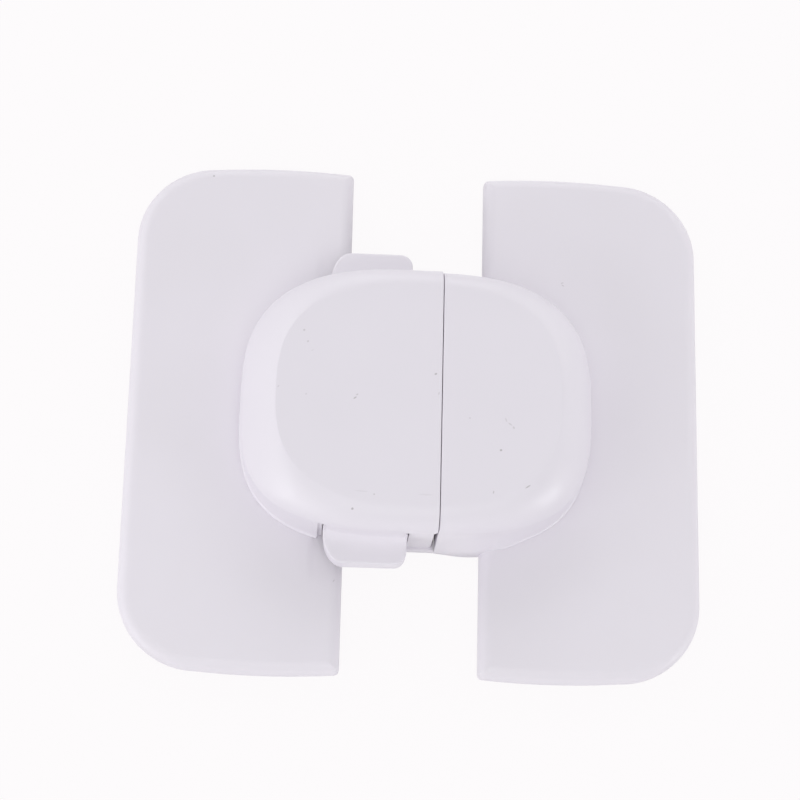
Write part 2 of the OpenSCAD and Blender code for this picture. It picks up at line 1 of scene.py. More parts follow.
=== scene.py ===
"""Looks of the squeeze-to-open safety lock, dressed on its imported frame.

Two stick-on plates carry one domed buckle, all in moulded white plastic. The domes, tabs and
plates are smooth surfaces with the solids' sizes and a few finer forms: a bead at the dome's foot,
a hairline seam, a crisper lip and thin walls behind the tabs' slots. Lengths are in millimetres
until a mesh is made, and heights count from the back of the plates.
"""
import math

import bmesh
import bpy
import numpy as np
from mathutils import Matrix, Vector, geometry


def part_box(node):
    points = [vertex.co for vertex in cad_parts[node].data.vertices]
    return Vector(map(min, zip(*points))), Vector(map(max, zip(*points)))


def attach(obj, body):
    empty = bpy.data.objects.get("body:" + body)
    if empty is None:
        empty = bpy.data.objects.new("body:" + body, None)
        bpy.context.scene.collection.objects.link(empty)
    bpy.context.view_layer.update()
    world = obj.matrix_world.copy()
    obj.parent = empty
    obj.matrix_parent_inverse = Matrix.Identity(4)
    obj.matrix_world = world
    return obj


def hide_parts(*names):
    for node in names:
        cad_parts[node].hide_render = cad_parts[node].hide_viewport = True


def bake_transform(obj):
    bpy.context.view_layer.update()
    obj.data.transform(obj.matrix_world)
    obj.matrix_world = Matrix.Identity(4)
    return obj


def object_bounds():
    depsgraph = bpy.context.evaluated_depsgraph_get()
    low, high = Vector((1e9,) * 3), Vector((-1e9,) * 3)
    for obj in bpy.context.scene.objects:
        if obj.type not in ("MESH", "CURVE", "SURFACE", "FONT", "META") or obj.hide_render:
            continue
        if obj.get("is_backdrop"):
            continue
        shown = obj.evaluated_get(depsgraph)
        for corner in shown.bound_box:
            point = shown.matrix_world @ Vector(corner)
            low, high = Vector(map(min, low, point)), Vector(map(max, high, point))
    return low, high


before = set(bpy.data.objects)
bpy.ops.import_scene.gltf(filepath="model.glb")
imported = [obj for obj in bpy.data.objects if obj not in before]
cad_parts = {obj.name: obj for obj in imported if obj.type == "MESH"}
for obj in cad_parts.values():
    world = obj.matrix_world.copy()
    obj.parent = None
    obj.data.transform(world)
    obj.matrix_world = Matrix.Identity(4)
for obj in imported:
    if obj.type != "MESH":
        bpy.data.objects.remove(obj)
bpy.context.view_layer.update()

MM = 0.001


def box_mm(name):
    """Lowest and highest corner of a CAD node, in millimetres."""
    low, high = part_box(name)
    return np.array(low) / MM, np.array(high) / MM


# The seam closes by this much on each side, to the hairline that the photograph shows
SEAM_SNUG = 0.07

# Sizes that the frame gives
latch_low, latch_high = box_mm("latch_base")
cover_low, cover_high = box_mm("receiver_cover")
tab_low, tab_high = box_mm("upper_release_tab")
pad_low, pad_high = box_mm("latch_upper_pad")
LIFT = latch_low[2]
PLATE_T = latch_high[2] - LIFT
PLATE_REACH = latch_high[0]
PLATE_HALF_H = latch_high[1]
SEAM_L = cover_high[0] + SEAM_SNUG
SEAM_R = latch_low[0] - SEAM_SNUG
DOME_HALF_L = -cover_low[0]
DOME_H = cover_high[2] - LIFT
TAB_START, TAB_END = tab_low[0], tab_high[0]
LIP_REACH = tab_high[1]

# Plates
PLATE_INNER = 10.0
CORNER_R = 11.8
INNER_CORNER_R = 0.8
PLATE_EDGE_R = 1.8
BACK_BEVEL = 0.3
PLATE_BOW = 0.4
PLATE_EDGE_STEPS = 8
PLATE_SMALLEST_R = 0.2
GRID_STEP = 0.5
GRID_EDGE = 0.004

# Floor across the door gap, lifted a little so that its back and the plate's aren't in one plane
FLOOR_T = 1.5
FLOOR_LIFT = 0.05
FLOOR_EDGE_R = 0.15
FLOOR_POINTS = 40

# Shallow relief in the plate beside each tab, and how it fades out
RELIEF_D = 0.15
RELIEF_MARGIN = 1.2
RELIEF_TAIL = 1.0
RELIEF_FADE = 0.6
RELIEF_RUN = 3.0

# Dome
DOME_HALF_W = 20.0
SIDE_LEAN = 0.3
END_WALL_H = 8.0
RAMP_L = 5.2
SHOULDER_W = 3.8
RECEIVER_DROP = 3.5
LATCH_DROP = 4.6
RECEIVER_ROUND = 1.2
LATCH_ROUND = 1.5
FOOT_POWER = 3.0
TOP_POWER = 2.7
DOME_WALL = 1.5
FOOT_FLARE = 0.8
FLARE_L = 8.0
FLARE_H = 9.0
EDGE_R = 0.12
HINGE_EDGE_R = 0.01
SEAM_CORNER_L = 0.6
SEAM_CORNER_H = 1.2

# Quarter-round bead at the dome's foot
BEAD_W = 0.22
BEAD_H = 0.6
BEAD_FADE = 2.0

# Shapes that follow from the dome's sizes
END_RUN = RAMP_L / (DOME_H - END_WALL_H)
END_FACTOR = math.hypot(1, END_RUN)
TOP_HALF_W = DOME_HALF_W - SHOULDER_W
BEND_START = END_WALL_H - 1
LATCH_KNEE = END_WALL_H + 2

# Rows and columns of the domes' grids
WALL_ROWS = 8
BEND_ROWS = 16
ROOF_ROWS = 40
BEAD_EVERY = 6
CAP_EDGE = (0.02, 0.06)
CAP_START = 0.12
CAP_ROWS = 16
WINDOW_COLUMNS = 40
END_COLUMNS = 150
LATCH_COLUMNS = 200
HALVINGS = 50
TINY_ANGLE = 1e-6

# Release tabs
HINGE_Z = 11.04
TAB_SLOT = 0.7
LIP_Z = 8.0
RIM_H = 3.0
LIP_EDGE_R = 0.3
TAB_SWEEP_Z = 1.2
SWEEP_POWER = 8
TAB_WALL = 1.3
SWEEP_L = 3.0
LIP_CORNER_R = 1.8
LIP_SMALLEST_R = 0.3
RIM_Z = LIP_Z - RIM_H
RIM_FADE = 1.2
SHORT_RIM = 3 * TAB_WALL
WINDOW_X = TAB_START - TAB_SLOT

# Points round a tab's free edge, and rows of its grid
SWEEP_POINTS = 34
LIP_POINTS = 26
CORNER_POINTS = 14
SIDE_POINTS = 10
TAB_ROWS = 24
RIM_ROWS = 6

# Thin walls behind a tab's slot and its notch: how far each is set back, and the room round it
WEB_SETBACK = 0.12
NOTCH_SETBACK = 0.2
WEB_T = 0.8
WEB_FREE = 0.1
NOTCH_FREE = 0.25
SEAM_FREE = 0.45

# Inside the receiver
POST_L = 2.6
POST_W = 2.2
POST_BEVEL = 0.8
POST_EDGE_R = 0.2
POST_BACK = 1.0
POST_X = TAB_END - POST_BACK - POST_L
CATCH_Y = 15.1
POST_H = 8.2
RAIL_W = 3.0
RAIL_TOP = PLATE_T + 1.4
RAIL_EDGE_R = 0.25
TIP_X = -15.2
PUSHER_X = -7.3
PUSHER_T = 1.8
PUSHER_Y = 16.25
PUSHER_Z = 3.6
PUSHER_H = 2.0
RIB_START = 0.2
RIB_POINTS = 8
RIB_EDGE_R = 0.1
INNER_EDGE_R = 0.2

# Screws, seen from the back
HEAD_HOLE_R = 2.05
HEAD_SEAT = 1.5
HOLE_POINTS = 40
SCREW_EDGE_R = 0.12
COVER_SCREWS = [(19.1, 9.5), (19.1, -9.5)]
TONGUE_SCREWS = [(13.2, 4.4), (13.2, -4.4)]

# Pads and liners
LINER_T = 0.15
PAD_INSET = 2.0
PAD_CORNER_R = 0.8
PAD_POINTS = 16
FOAM_EDGE_R = 0.12
PAPER_EDGE_R = 0.04

# Points nearer than this are one, and edges turned by more than this stay sharp
MERGE = 0.002
CAD_MERGE = 0.001
SHARP_ANGLE = math.radians(36)
FLAT_ANGLE = math.radians(0.5)
BEVEL_ANGLE = math.radians(30)

# Camera, solved from the photograph: turned by these angles about X, Y and Z, then moved by this
# much, the lock stands before a camera that looks along -Z
CAMERA_TURN = (-16.55, 2.59, -2.12)
CAMERA_SHIFT = (1.98, -3.29, -329.35)
PHOTO_FOCUS = 2200
PHOTO_WIDTH = 800

# Studio, in metres: the floor's half width, the lamps' distance and their sizes
FLOOR_HALF = 1.5
LAMP_DISTANCE = 0.75
BIG_LAMP = 0.5
SMALL_LAMP = 0.2


def linear(hex_colour):
    """An sRGB hex colour as linear RGBA."""
    srgb = np.array([int(hex_colour[i:i + 2], 16) for i in (1, 3, 5)]) / 255
    rgb = np.where(srgb <= 0.04045, srgb / 12.92, ((srgb + 0.055) / 1.055) ** 2.4)
    return (*rgb.tolist(), 1.0)


def add(tree, kind, inputs=None, **settings):
    """Adds a node; settings are its own, and inputs are its sockets' values or links."""
    made = tree.nodes.new(kind)
    for name, value in settings.items():
        setattr(made, name, value)
    for key, value in (inputs or {}).items():
        if isinstance(value, bpy.types.NodeSocket):
            tree.links.new(value, made.inputs[key])
        else:
            made.inputs[key].default_value = value
    return made


def grid_faces(index):
    """Four-sided faces between the neighbouring rows and columns of a grid of indices."""
    corners = (index[:-1, :-1], index[:-1, 1:], index[1:, 1:], index[1:, :-1])
    return np.stack(corners, -1).reshape(-1, 4)


def unit(v):
    """Vectors scaled to length 1, with zero vectors left as they are."""
    return v / np.maximum(np.linalg.norm(v, axis=-1, keepdims=True), 1e-9)


def smoothstep(s):
    """0 below 0, 1 above 1, and the cubic 3 s^2 - 2 s^3 between."""
    s = np.clip(s, 0, 1)
    return s * s * (3 - 2 * s)


def shell(outer, inner, keep, edge_r, steps=4):
    """Closed wall between two grids of points, over the faces that keep marks.

    Round each open edge the outer grid goes back by edge_r and turns down through a quarter
    circle, and a flat rim joins it to the inner grid. The last row has no rim, because the
    two sides of a dome meet there on its middle line.
    """
    rows, cols = outer.shape[:2]
    count = rows * cols
    index = np.arange(count).reshape(rows, cols)
    round_keep = np.pad(keep, 1).astype(int)
    row_out = round_keep[:-1, 1:-1] - round_keep[1:, 1:-1]
    col_out = round_keep[1:-1, :-1] - round_keep[1:-1, 1:]
    closes = np.allclose(outer[-1, :, 1], 0)
    if closes:
        row_out[-1] = 0
    out_r = np.sign(np.pad(row_out, ((0, 0), (1, 0))) + np.pad(row_out, ((0, 0), (0, 1))))
    out_c = np.sign(np.pad(col_out, ((1, 0), (0, 0))) + np.pad(col_out, ((0, 1), (0, 0))))
    r, c = np.nonzero((out_r != 0) | (out_c != 0))
    here = outer[r, c]
    along_r = unit(here - outer[np.clip(r - out_r[r, c], 0, rows - 1), c])
    along_c = unit(here - outer[r, np.clip(c - out_c[r, c], 0, cols - 1)])
    out = along_r + along_c
    normal = unit(np.cross(np.gradient(outer, axis=0), np.gradient(outer, axis=1)))[r, c]
    facing = np.sign(np.sum(normal * (here - inner[r, c]), -1, keepdims=True))
    normal = normal * np.where(facing == 0, 1, facing)
    radius = np.broadcast_to(edge_r, (rows, cols))[r, c][:, None]
    turn = np.linspace(0, math.pi / 2, steps + 1)[:, None, None]
    rolled = here - radius * out * (1 - np.sin(turn)) - radius * normal * (1 - np.cos(turn))
    moved = outer.copy()
    moved[r, c] = rolled[0]
    points = np.concatenate(
        [moved.reshape(-1, 3), inner.reshape(-1, 3), rolled[1:].reshape(-1, 3)]
    )
    rim = np.zeros((steps + 2, count), int)
    rim[0] = np.arange(count)
    rim[-1] = np.arange(count) + count
    flat = r * cols + c
    rim[1:-1, flat] = 2 * count + np.arange(steps * len(flat)).reshape(steps, -1)
    er, ec = np.nonzero(row_out)
    edges = [np.stack([index[er, ec], index[er, ec + 1]], -1)]
    er, ec = np.nonzero(col_out)
    edges.append(np.stack([index[er, ec], index[er + 1, ec]], -1))
    a, b = np.concatenate(edges).T
    rims = np.stack([rim[:-1, a], rim[:-1, b], rim[1:, b], rim[1:, a]], -1).reshape(-1, 4)
    front = grid_faces(index)[keep.ravel()]
    faces = np.concatenate([front, front[:, ::-1] + count, rims])
    used, compact = np.unique(faces, return_inverse=True)
    return points[used], compact.reshape(-1, 4).tolist()


def inset_outline(outline, inset):
    """A closed outline drawn in by inset: each point moves along the mean of its edges' normals."""
    before = unit(outline - np.roll(outline, 1, 0))
    after = unit(np.roll(outline, -1, 0) - outline)
    n1 = np.stack([-before[:, 1], before[:, 0]], -1)
    n2 = np.stack([-after[:, 1], after[:, 0]], -1)
    return outline + inset * (n1 + n2) / (1 + np.sum(n1 * n2, -1, keepdims=True))


def block(outline, low, high, edge_r, axis=2, steps=3):
    """An outline, anticlockwise, drawn from low to high along an axis, with rounded rims.

    Each ring is the outline drawn in by edge_r (1 - sin t) at edge_r (1 - cos t) from an end.
    """
    t = np.linspace(0, math.pi / 2, steps + 1)
    insets = edge_r * (1 - np.sin(t))
    drops = edge_r * (1 - np.cos(t))
    insets = np.concatenate([[2 * edge_r], insets, insets[::-1], [2 * edge_r]])
    levels = np.concatenate([[low], low + drops, high - drops[::-1], [high]])
    rings = np.stack([
        np.column_stack([inset_outline(outline, i), np.full(len(outline), z)])
        for i, z in zip(insets, levels)
    ])
    rings = np.roll(rings, axis + 1, axis=-1)
    n = len(outline)
    index = np.arange(len(insets) * n).reshape(-1, n)
    wrapped = np.concatenate([index, index[:, :1]], 1)
    caps = [index[0, ::-1].tolist(), index[-1].tolist()]
    return rings.reshape(-1, 3), grid_faces(wrapped).tolist() + caps


def piece(name, shells, material, nodes, body=None):
    """A smooth mesh piece from closed shells, standing for CAD nodes and riding on a body."""
    starts = np.cumsum([0] + [len(points) for points, _ in shells])
    points = np.concatenate([p for p, _ in shells])
    faces = [
        [start + i for i in face]
        for start, (_, made) in zip(starts, shells)
        for face in made
    ]
    mesh = bpy.data.meshes.new(name)
    mesh.from_pydata(((points + [0, 0, LIFT]) * MM).tolist(), [], faces)
    form = bmesh.new()
    form.from_mesh(mesh)
    bmesh.ops.remove_doubles(form, verts=form.verts, dist=MERGE * MM)
    bmesh.ops.recalc_face_normals(form, faces=form.faces)
    form.to_mesh(mesh)
    form.free()
    mesh.shade_smooth()
    mesh.set_sharp_from_angle(angle=SHARP_ANGLE)
    mesh.materials.append(material)
    made = bpy.data.objects.new(name, mesh)
    bpy.context.scene.collection.objects.link(made)
    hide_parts(*nodes)
    if body:
        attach(made, body)
    return made


def bump(s):
    """(1 - s^2)^2 inside -1 to 1, and 0 outside."""
    return np.clip(1 - s * s, 0, None) ** 2


def oval(length, width, p, t):
    """Point of a superellipse: each half length times the cosine or sine, to the power 2 / p."""
    x = length * np.sign(np.cos(t)) * np.abs(np.cos(t)) ** (2 / p)
    return x, width * np.sign(np.sin(t)) * np.abs(np.sin(t)) ** (2 / p)


def dome_point(polar, z, inset, drop, roundness):
    """Place on the dome, drawn in by inset, at a polar angle from its end and a height.

    Below the wall's top, which rises from the ends to the sides with the square of the sine,
    it lies on the foot's superellipse, whose sides lean in. Above, it moves in towards the
    flat top's superellipse by 1 - (1 - v^e)^(1/e) of the way at the share v of the height, and
    with the fourth power of the sine e goes from the ramp's roundness at the ends to 2, a quarter
    ellipse, at the sides.
    """
    length, width = DOME_HALF_L - inset, DOME_HALF_W - inset
    slope = (length / width * np.abs(np.tan(polar))) ** (FOOT_POWER / 2)
    t = np.arctan(slope)
    t = np.where(np.abs(polar) > math.pi / 2, math.pi - t, t) * np.sign(polar)
    side = np.sin(t) ** 2
    turn = END_WALL_H - inset * (END_FACTOR - 1) / END_RUN
    low = turn + (DOME_H - inset - drop - turn) * side
    up = np.clip((z - FLOOR_T) / (low - FLOOR_T), 0, 1)
    x, y = oval(length, width - SIDE_LEAN * up, FOOT_POWER, t)
    top_l = DOME_HALF_L - RAMP_L - inset * (END_FACTOR - END_RUN)
    top_x, top_y = oval(top_l, TOP_HALF_W, TOP_POWER, t)
    v = np.clip((z - low) / (DOME_H - inset - low), 0, 1)
    e = roundness + (2 - roundness) * side**2
    inwards = 1 - (1 - v**e) ** (1 / e)
    return x + inwards * (top_x - x), y + inwards * (top_y - y)


def dome_grid(side, cuts, counts, z, close, inset, drop, roundness):
    """Half of the dome, drawn in by inset, as a grid of points.

    Each row lies at a height z and runs round the dome's end, cut where it crosses the places
    in cuts along X, which are found by halving a range of angles. Rows with close above 0 lie
    on the flat top, and run in to the middle line at close 1. Over the plate, the outer wall
    ends in a quarter-round bead. The latch's foot flares where its plate ends.
    """
    ends = []
    for cut in cuts:
        near = np.full(len(z), TINY_ANGLE)
        far = np.full(len(z), math.pi - TINY_ANGLE)
        for _ in range(HALVINGS):
            middle = (near + far) / 2
            x, _ = dome_point(middle, z, inset, drop, roundness)
            short = x > cut * side
            near = np.where(short, middle, near)
            far = np.where(short, far, middle)
        ends.append(middle[:, None])
    breaks = [-a for a in ends] + ends[::-1]
    spans = counts + counts[-2::-1]
    polar = [breaks[0]]
    for a, b, n in zip(breaks, breaks[1:], spans):
        polar.append(a + (b - a) * np.arange(1, n + 1) / n)
    polar = np.concatenate(polar, 1)
    z = np.broadcast_to(z[:, None], polar.shape)
    x, y = dome_point(polar, z, inset, drop, roundness)
    if not inset:
        bead = np.sqrt(np.clip(1 - ((z - z[0]) / BEAD_H) ** 2, 0, None))
        bead = BEAD_W * bead * smoothstep((x - PLATE_INNER - PLATE_EDGE_R) / BEAD_FADE)
        x, y = dome_point(polar, z, -bead, drop, roundness)
    x, y = side * x, y * (1 - close[:, None])
    flare = FOOT_FLARE * bump((x - PLATE_INNER) / FLARE_L) * bump(z / FLARE_H)
    return np.stack([x, y + np.sign(y) * flare, z], -1)


def dome_rows(foot, hinge):
    """Heights of a dome's rows, and how far each runs in over the flat top."""
    turn = np.linspace(0, math.pi / 2, ROOF_ROWS)
    bead = foot + BEAD_H * np.sin(turn[::BEAD_EVERY])
    wall = np.linspace(foot + BEAD_H, BEND_START, WALL_ROWS, endpoint=False)[1:]
    wall = np.append(bead, wall)
    bend = np.linspace(BEND_START, hinge, BEND_ROWS, endpoint=False)
    roof = hinge + (DOME_H - hinge) * np.sin(turn)
    heights = np.concatenate([wall, bend, roof])
    cap = np.concatenate([CAP_EDGE, np.linspace(CAP_START, 1, CAP_ROWS)])
    z = np.concatenate([heights, np.full(len(cap), DOME_H)])
    return z, np.concatenate([np.zeros(len(heights)), cap]), len(wall) + len(bend)


def inner_rows(z, knee):
    """Heights of the inner wall's rows: the same up to knee, then closed up by the wall."""
    share = (DOME_H - DOME_WALL - knee) / (DOME_H - knee)
    return np.where(z > knee, knee + (z - knee) * share, z)


def receiver_dome():
    """Shell of the receiver's dome, with the two windows for its tabs left out.

    A quarter ellipse rounds the corner where each window meets the seam.
    """
    z, close, hinge_row = dome_rows(PLATE_T, HINGE_Z)
    short = 1 - np.clip((z - HINGE_Z) / SEAM_CORNER_H, 0, 1)
    seam = SEAM_L - SEAM_CORNER_L * (1 - np.sqrt(1 - short**2))
    cuts, counts = [seam, WINDOW_X], [WINDOW_COLUMNS, END_COLUMNS]
    inner_z = inner_rows(z, HINGE_Z)
    outer = dome_grid(-1, cuts, counts, z, close, 0, RECEIVER_DROP, RECEIVER_ROUND)
    inner = dome_grid(-1, cuts, counts, inner_z, close, DOME_WALL, RECEIVER_DROP, RECEIVER_ROUND)
    keep = np.ones((len(z) - 1, outer.shape[1] - 1), bool)
    keep[:hinge_row, :counts[0]] = False
    keep[:hinge_row, -counts[0]:] = False
    over_tab = (outer[..., 0] > TAB_START) & (outer[..., 0] < TAB_END)
    radius = np.full(outer.shape[:2], EDGE_R)
    radius[hinge_row, over_tab[hinge_row]] = HINGE_EDGE_R
    return shell(outer, inner, keep, radius)


def inner_walls(side):
    """Web across the slot beside a tab, and the wall behind its notch, set back in the dome."""
    start = hinge_y(WINDOW_X, WEB_SETBACK + WEB_T)
    web = rectangle(WINDOW_X - WEB_T, TAB_START - WEB_FREE, start, start + WEB_T)
    end = hinge_y(SEAM_L, NOTCH_SETBACK + WEB_T)
    wall = rectangle(TAB_END + NOTCH_FREE, SEAM_L - SEAM_FREE, end, end + WEB_T)
    return [
        flip(block(web, PLATE_T - WEB_FREE, HINGE_Z - WEB_FREE, WEB_FREE), side),
        flip(block(wall, FLOOR_T - WEB_FREE, HINGE_Z + WEB_T, WEB_FREE), side),
    ]


def latch_dome():
    """Shell of the latch's dome, which stands on its plate and on the floor beside the seam."""
    z, close, _ = dome_rows(FLOOR_T, LATCH_KNEE)
    cuts, counts = [np.full(len(z), SEAM_R)], [LATCH_COLUMNS]
    inner_z = inner_rows(z, END_WALL_H)
    outer = dome_grid(1, cuts, counts, z, close, 0, LATCH_DROP, LATCH_ROUND)
    inner = dome_grid(1, cuts, counts, inner_z, close, DOME_WALL, LATCH_DROP, LATCH_ROUND)
    on_plate = (outer[..., 0] > PLATE_INNER + PLATE_EDGE_R) * (PLATE_T - FLOOR_T)
    settle = np.clip((END_WALL_H - outer[..., 2]) / (END_WALL_H - FLOOR_T), 0, 1)
    outer[..., 2] += on_plate * settle
    inner[..., 2] += on_plate * settle
    return shell(outer, inner, np.ones((len(z) - 1, counts[0]), bool), EDGE_R)


def plate_sides(inset, corner_steps=14):
    """The plate's inner and outer side, drawn in by inset, as points of matching rows."""
    h = PLATE_HALF_H - inset
    r = CORNER_R - inset
    q = max(INNER_CORNER_R - inset, PLATE_SMALLEST_R)
    turn = np.linspace(0, math.pi / 2, corner_steps + 1)
    straight = np.linspace(-1, 1, int(2 * (h - r) / GRID_STEP))[1:-1]

    def side(x, radius, sign):
        corner_x = x - sign * radius * (1 - np.sin(turn))
        low = np.stack([corner_x, -h + radius * (1 - np.cos(turn))], -1)
        mid = np.stack([np.full(len(straight), x), straight * (h - radius)], -1)
        return np.concatenate([low, mid, low[::-1] * [1, -1]])

    return side(PLATE_INNER + inset, q, -1), side(PLATE_REACH - inset, r, 1)


def plate_grid(inset):
    """The plate's front as a grid: straight rows from its inner to its outer side, bowed."""
    inner, outer = plate_sides(inset)
    across = np.linspace(0, 1, int((PLATE_REACH - PLATE_INNER) / GRID_STEP))
    across = np.sort(np.append(across, [GRID_EDGE, 1 - GRID_EDGE]))[None, :, None]
    grid = inner[:, None] + across * (outer - inner)[:, None]
    low, high = PLATE_INNER + INNER_CORNER_R, PLATE_REACH - CORNER_R
    middle = (np.clip(grid[..., 0], low, high) - (low + high) / 2) / ((high - low) / 2)
    grid[..., 1] -= PLATE_BOW * middle**2 * grid[..., 1] / PLATE_HALF_H
    return grid


def ring_of(grid):
    """The points round a grid's edge, in order."""
    return np.concatenate([grid[0, :-1], grid[:-1, -1], grid[-1, :0:-1], grid[:0:-1, 0]])


def plate(side, screws, relief):
    """A plate: flat front with its relief, quarter-round front edge, bevelled back with holes."""
    front = plate_grid(PLATE_EDGE_R)
    rows, cols = front.shape[:2]
    points = [np.dstack([front, np.full((rows, cols), PLATE_T)]).reshape(-1, 3)]
    index = np.arange(rows * cols).reshape(rows, cols)
    faces = grid_faces(index).tolist()
    ring = ring_of(index)
    turn = np.linspace(0, math.pi / 2, PLATE_EDGE_STEPS + 1)[1:]
    insets = np.append(PLATE_EDGE_R * (1 - np.sin(turn)), [0, BACK_BEVEL])
    levels = np.append(PLATE_T - PLATE_EDGE_R * (1 - np.cos(turn)), [BACK_BEVEL, 0])
    start = rows * cols
    for inset, level in zip(insets, levels):
        line = ring_of(plate_grid(inset))
        points.append(np.column_stack([line, np.full(len(line), level)]))
        new = start + np.arange(len(line))
        start += len(line)
        faces += grid_faces(np.stack([np.append(ring, ring[0]), np.append(new, new[0])])).tolist()
        ring = new
    loops, numbers = [line], [ring]
    turn = np.linspace(0, 2 * math.pi, HOLE_POINTS, endpoint=False)
    for place in screws:
        hole = np.array(place) + HEAD_HOLE_R * np.stack([np.cos(turn), np.sin(turn)], -1)
        rim = start + np.arange(len(hole))
        seat = rim + len(hole)
        for level in (0, HEAD_SEAT):
            points.append(np.column_stack([hole, np.full(len(hole), level)]))
        start += 2 * len(hole)
        faces += grid_faces(np.stack([np.append(rim, rim[0]), np.append(seat, seat[0])])).tolist()
        faces.append(seat.tolist())
        loops.append(hole)
        numbers.append(rim)
    fill = geometry.tessellate_polygon([[Vector((*p, 0)) for p in loop] for loop in loops])
    numbers = np.concatenate(numbers)
    faces += [[int(numbers[i]) for i in corner] for corner in fill]
    points = np.concatenate(points)
    x, y = points[:, 0], np.abs(points[:, 1])
    beside = smoothstep((RELIEF_MARGIN - WINDOW_X - x) / RELIEF_FADE)
    beside = beside * smoothstep((y - DOME_HALF_W + RELIEF_RUN) / RELIEF_FADE)
    beside = beside * smoothstep((LIP_REACH + RELIEF_MARGIN + RELIEF_TAIL - y) / RELIEF_RUN)
    points[:, 2] = np.minimum(points[:, 2], PLATE_T - relief * beside)
    return points * [side, 1, 1], faces


def rectangle(x0, x1, y0, y1):
    """Anticlockwise corners of a rectangle."""
    return np.array([[x0, y0], [x1, y0], [x1, y1], [x0, y1]], float)


def floor_outline(x0, x1):
    """Outline of the dome's foot between two places along X, as y = w (1 - |x/l|^p)^(1/p)."""
    x = np.linspace(x0, x1, FLOOR_POINTS)
    y = DOME_HALF_W * (1 - np.abs(x / DOME_HALF_L) ** FOOT_POWER) ** (1 / FOOT_POWER)
    y = y + FOOT_FLARE * bump((x - PLATE_INNER) / FLARE_L) * bump(FLOOR_T / FLARE_H)
    return np.concatenate([np.stack([x, -y], -1), np.stack([x, y], -1)[::-1]])


def flip(made, side):
    """A shell mirrored to the side of Y that side's sign gives."""
    points, faces = made
    return points * [1, side, 1], faces


def receiver_base():
    """The receiver's plate and floor, with the guide rail and the two catch posts."""
    post = np.array([
        [POST_X, CATCH_Y], [POST_X + POST_L - POST_BEVEL, CATCH_Y],
        [POST_X + POST_L, CATCH_Y + POST_BEVEL], [POST_X + POST_L, CATCH_Y + POST_W],
        [POST_X, CATCH_Y + POST_W],
    ])
    catch = block(post, FLOOR_T / 2, POST_H, POST_EDGE_R)
    floor_form = floor_outline(-PLATE_INNER - PLATE_EDGE_R, SEAM_L)
    rail = rectangle(TIP_X, SEAM_L, -RAIL_W / 2, RAIL_W / 2)
    return [
        plate(-1, COVER_SCREWS, RELIEF_D),
        block(floor_form, FLOOR_LIFT, FLOOR_T, FLOOR_EDGE_R),
        block(rail, FLOOR_T / 2, RAIL_TOP, RAIL_EDGE_R),
        catch,
        flip(catch, -1),
    ]


def latch_base():
    """The latch's plate and floor."""
    floor_form = floor_outline(SEAM_R, PLATE_INNER + PLATE_EDGE_R)
    return [
        plate(1, COVER_SCREWS + TONGUE_SCREWS, 0),
        block(floor_form, FLOOR_LIFT, FLOOR_T, FLOOR_EDGE_R),
    ]


def hinge_y(x, inset):
    """Where the dome's side, drawn in by inset, stands at the hinge's height along X."""
    up = (HINGE_Z - FLOOR_T) / (DOME_H - RECEIVER_DROP - FLOOR_T)
    width = DOME_HALF_W - SIDE_LEAN * up
    return width * (1 - np.abs(x / DOME_HALF_L) ** FOOT_POWER) ** (1 / FOOT_POWER) - inset


def hollow_z(x, y, inset):
    """Height of the tab, drawn in by inset, which leaves the dome's side upright and hollows out.

    With t the eighth root of the share of the way from side to lip, it is the quadratic Bezier
    curve from the hinge to the lip, drawn towards a point above the lip.
    """
    wall = hinge_y(x, inset)
    lip = LIP_REACH - LIP_EDGE_R - inset
    t = np.clip((y - wall) / (lip - wall), 0, 1) ** (1 / SWEEP_POWER)
    curve = (1 - t) ** 2 * HINGE_Z + 2 * t * (1 - t) * (LIP_Z + TAB_SWEEP_Z) + t**2 * LIP_Z
    return curve - inset * t


def tab_outline(inset):
    """The tab's free edge seen from the front, drawn in by inset, from slot to notch.

    A quarter ellipse sweeps from the slot to the lip, and an arc turns the other corner.
    """
    left, right, lip = TAB_START + inset, TAB_END - inset, LIP_REACH - inset
    r = max(LIP_CORNER_R - inset, LIP_SMALLEST_R)
    turn = np.linspace(0, math.pi / 2, SWEEP_POINTS)
    x = left + (SWEEP_L - inset) * (1 - np.cos(turn))
    far = np.stack([x, hinge_y(x, inset) * (1 - np.sin(turn)) + lip * np.sin(turn)], -1)
    run = np.linspace(left + SWEEP_L - inset, right - r, LIP_POINTS)[1:-1]
    front = np.stack([run, np.full(len(run), lip)], -1)
    turn = np.linspace(math.pi / 2, 0, CORNER_POINTS)
    near = np.stack([right - r + r * np.cos(turn), lip - r + r * np.sin(turn)], -1)
    up = np.linspace(lip - r, hinge_y(right, inset), SIDE_POINTS)[1:]
    return np.concatenate([far, front, near, np.stack([np.full(len(up), right), up], -1)])


def tab_grid(inset, rim_z):
    """The tab, drawn in by inset: lines from its hinge to its free edge, then round and down."""
    free = tab_outline(inset + LIP_EDGE_R)
    share = np.linspace(0, 1, len(free))
    x = free[0, 0] + share * (free[-1, 0] - free[0, 0])
    hinge_line = np.stack([x, hinge_y(x, inset)], -1)
    across = np.linspace(0, 1, TAB_ROWS)[:, None, None] ** SWEEP_POWER
    plan = hinge_line + across * (free - hinge_line)
    top = hollow_z(plan[..., 0], plan[..., 1], inset)
    rows = [np.dstack([plan, top])]
    for t in np.linspace(0, math.pi / 2, RIM_ROWS)[1:]:
        edge = tab_outline(inset + LIP_EDGE_R * (1 - math.sin(t)))
        rows.append(np.dstack([edge[None], (top[-1] - LIP_EDGE_R * (1 - math.cos(t)))[None]]))
    start = top[-1] - LIP_EDGE_R
    for s in np.linspace(0, 1, RIM_ROWS)[1:]:
        down = np.minimum(start, start + s * (rim_z - start))
        rows.append(np.dstack([edge[None], down[None]]))
    return np.concatenate(rows)


